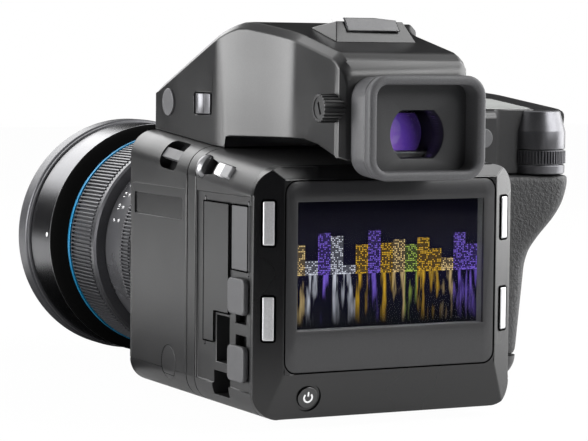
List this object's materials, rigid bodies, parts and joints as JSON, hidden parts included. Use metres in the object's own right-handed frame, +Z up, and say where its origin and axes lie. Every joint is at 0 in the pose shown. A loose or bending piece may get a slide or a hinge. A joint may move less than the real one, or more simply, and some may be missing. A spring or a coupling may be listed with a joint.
{
  "type": "medium format digital camera",
  "caption": "Modular medium format camera with a box body, digital back with rear display, prism finder, side hand grip and a large fixed-length lens.",
  "frame": {"origin": "mouth of the tripod socket in the base, below the lens axis", "axes": "+Y along the lens axis to the front, +X to the viewer's right, towards the hand grip, +Z up"},
  "size_m": [0.1564, 0.2526, 0.1341],
  "materials": {
    "body_paint": "fine-grained satin powder coat, near black",
    "panel_paint": "fine-grained satin powder coat, near black",
    "trim_black": "moulded black plastic with a light grain",
    "gloss_black": "glossy black enamel",
    "ring_black": "black anodised, ribbed",
    "accent_blue": "sky blue anodised",
    "key_metal": "satin silver",
    "steel": "fine turned",
    "brass_bush": "nickelled brass",
    "cover_glass": "polished dark glass",
    "lens_glass": "coated optical glass",
    "optic_glass": "clear optical glass",
    "mirror": "front-silvered",
    "display": "lit display panel",
    "board": "circuit board",
    "sensor": "sensor cover glass",
    "rubber": "soft dark grey rubber",
    "leatherette": "leather-grained rubber covering"
  },
  "bodies": {
    "camera": {"body_shell": "body_paint", "mount_frame": "body_paint", "left_panel": "panel_paint", "side_cap": "trim_black", "strap_bar": "steel", "tripod_bush": "brass_bush", "base_screws": "steel", "lens_mount_ring": "steel", "focusing_screen": "optic_glass", "shutter_cassette": "trim_black", "back_housing": "body_paint", "rear_bezel": "body_paint", "cover_glass": "cover_glass", "display_panel": "display", "socket_block": "trim_black", "image_sensor": "sensor", "sensor_board": "board", "prism_housing": "body_paint", "pentaprism": "optic_glass", "eyepiece_panel": "body_paint", "eyepiece_lens": "lens_glass", "eyecup": "rubber", "accessory_shoe": "body_paint", "grip_core": "trim_black", "grip_skin": "leatherette", "grip_top": "body_paint", "battery": "trim_black", "top_display": "cover_glass", "lens_bayonet": "steel", "name_barrel": "gloss_black", "accent_ring": "accent_blue", "front_barrel": "gloss_black", "front_ring": "gloss_black", "front_lens": "lens_glass", "leaf_shutter": "trim_black"},
    "lens_release_button": {"lens_release_button": "trim_black"},
    "reflex_mirror": {"reflex_mirror": "mirror"},
    "key_upper_left": {"key_upper_left": "key_metal"},
    "key_lower_left": {"key_lower_left": "key_metal"},
    "key_upper_right": {"key_upper_right": "key_metal"},
    "key_lower_right": {"key_lower_right": "key_metal"},
    "power_button": {"power_button": "trim_black"},
    "card_door": {"card_door": "body_paint"},
    "port_door": {"port_door": "body_paint"},
    "upper_tab": {"upper_tab": "body_paint"},
    "lower_tab": {"lower_tab": "body_paint"},
    "back_latch": {"back_latch": "steel"},
    "lock_button": {"lock_button": "key_metal"},
    "prism_button": {"prism_button": "trim_black"},
    "prism_slide": {"prism_slide": "steel"},
    "dioptre_knob": {"dioptre_knob": "trim_black"},
    "shoe_cover": {"shoe_cover": "trim_black"},
    "battery_door": {"battery_door": "trim_black"},
    "shutter_button": {"shutter_button": "key_metal"},
    "front_dial": {"front_dial": "ring_black"},
    "rear_dial": {"rear_dial": "ring_black"},
    "rear_button": {"rear_button": "trim_black"},
    "mode_ring": {"mode_ring": "ring_black"},
    "focus_ring": {"focus_ring": "ring_black"},
    "focus_group": {"focus_group": "lens_glass"}
  },
  "joints": [
    {"name": "lens_release_button_slide", "type": "slide", "parent": "camera", "child": "lens_release_button", "axis": [0, -1, 0], "range_m": [0, 0.0015], "stiffness_N_per_m": 400},
    {"name": "reflex_mirror_turn", "type": "hinge", "parent": "camera", "child": "reflex_mirror", "pos_m": [0, -0.0269, 0.068], "axis": [1, 0, 0], "range_deg": [0, 45]},
    {"name": "key_upper_left_slide", "type": "slide", "parent": "camera", "child": "key_upper_left", "axis": [0.4983, 0.867, 0], "range_m": [0, 0.0005], "stiffness_N_per_m": 400},
    {"name": "key_lower_left_slide", "type": "slide", "parent": "camera", "child": "key_lower_left", "axis": [0.4983, 0.867, 0], "range_m": [0, 0.0005], "stiffness_N_per_m": 400},
    {"name": "key_upper_right_slide", "type": "slide", "parent": "camera", "child": "key_upper_right", "axis": [-0.4983, 0.867, 0], "range_m": [0, 0.0005], "stiffness_N_per_m": 400},
    {"name": "key_lower_right_slide", "type": "slide", "parent": "camera", "child": "key_lower_right", "axis": [-0.4983, 0.867, 0], "range_m": [0, 0.0005], "stiffness_N_per_m": 400},
    {"name": "power_button_slide", "type": "slide", "parent": "camera", "child": "power_button", "axis": [0, 0.9801, 0.1987], "range_m": [0, 0.0006], "stiffness_N_per_m": 400},
    {"name": "card_door_turn", "type": "hinge", "parent": "camera", "child": "card_door", "pos_m": [-0.0475, -0.0385, 0.045], "axis": [0, 0, -1], "range_deg": [0, 100]},
    {"name": "port_door_turn", "type": "hinge", "parent": "camera", "child": "port_door", "pos_m": [-0.0475, -0.0724, 0.058], "axis": [0, 0, 1], "range_deg": [0, 100]},
    {"name": "upper_tab_slide", "type": "slide", "parent": "camera", "child": "upper_tab", "axis": [0, 0, -1], "range_m": [0, 0.004]},
    {"name": "lower_tab_slide", "type": "slide", "parent": "camera", "child": "lower_tab", "axis": [0, 0, 1], "range_m": [0, 0.004]},
    {"name": "back_latch_slide", "type": "slide", "parent": "camera", "child": "back_latch", "axis": [0, -0.9965, -0.0837], "range_m": [0, 0.006], "stiffness_N_per_m": 400},
    {"name": "lock_button_slide", "type": "slide", "parent": "camera", "child": "lock_button", "axis": [0.866, 0.0418, -0.4982], "range_m": [0, 0.0008], "stiffness_N_per_m": 400},
    {"name": "prism_button_slide", "type": "slide", "parent": "camera", "child": "prism_button", "axis": [1, 0, 0], "range_m": [0, 0.0008], "stiffness_N_per_m": 400},
    {"name": "prism_slide_slide", "type": "slide", "parent": "camera", "child": "prism_slide", "axis": [0, -1, 0], "range_m": [0, 0.0026]},
    {"name": "dioptre_knob_turn", "type": "hinge", "parent": "camera", "child": "dioptre_knob", "pos_m": [-0.027, -0.085, 0.1012], "axis": [-1, 0, 0], "range_deg": [-150, 150]},
    {"name": "shoe_cover_slide", "type": "slide", "parent": "camera", "child": "shoe_cover", "axis": [0, -0.9925, 0.1219], "range_m": [0, 0.018]},
    {"name": "battery_door_turn", "type": "hinge", "parent": "camera", "child": "battery_door", "pos_m": [0.051, 0.0005, 0.0043], "axis": [0, 1, 0], "range_deg": [0, 90]},
    {"name": "shutter_button_slide", "type": "slide", "parent": "camera", "child": "shutter_button", "axis": [0, 0.1045, -0.9945], "range_m": [0, 0.0012], "stiffness_N_per_m": 400},
    {"name": "front_dial_turn", "type": "hinge", "parent": "camera", "child": "front_dial", "pos_m": [0.0775, 0.0306, 0.081], "axis": [0, 0, 1], "continuous": true},
    {"name": "rear_dial_turn", "type": "hinge", "parent": "camera", "child": "rear_dial", "pos_m": [0.09576, -0.0192, 0.081], "axis": [0, 0, 1], "continuous": true},
    {"name": "rear_button_slide", "type": "slide", "parent": "camera", "child": "rear_button", "axis": [0, 1, 0], "range_m": [0, 0.0008], "stiffness_N_per_m": 400},
    {"name": "mode_ring_turn", "type": "hinge", "parent": "camera", "child": "mode_ring", "pos_m": [0, 0.047, 0.044], "axis": [0, 1, 0], "range_deg": [0, 15]},
    {"name": "focus_ring_turn", "type": "hinge", "parent": "camera", "child": "focus_ring", "pos_m": [0, 0.09, 0.044], "axis": [0, 1, 0], "range_deg": [0, 110]},
    {"name": "focus_group_slide", "type": "slide", "parent": "camera", "child": "focus_group", "axis": [0, 1, 0], "range_m": [0, 0.005]}
  ],
  "couplings": [
    {"joint": "focus_group_slide", "follows": "focus_ring_turn", "m_per_rad": 0.0026043}
  ]
}
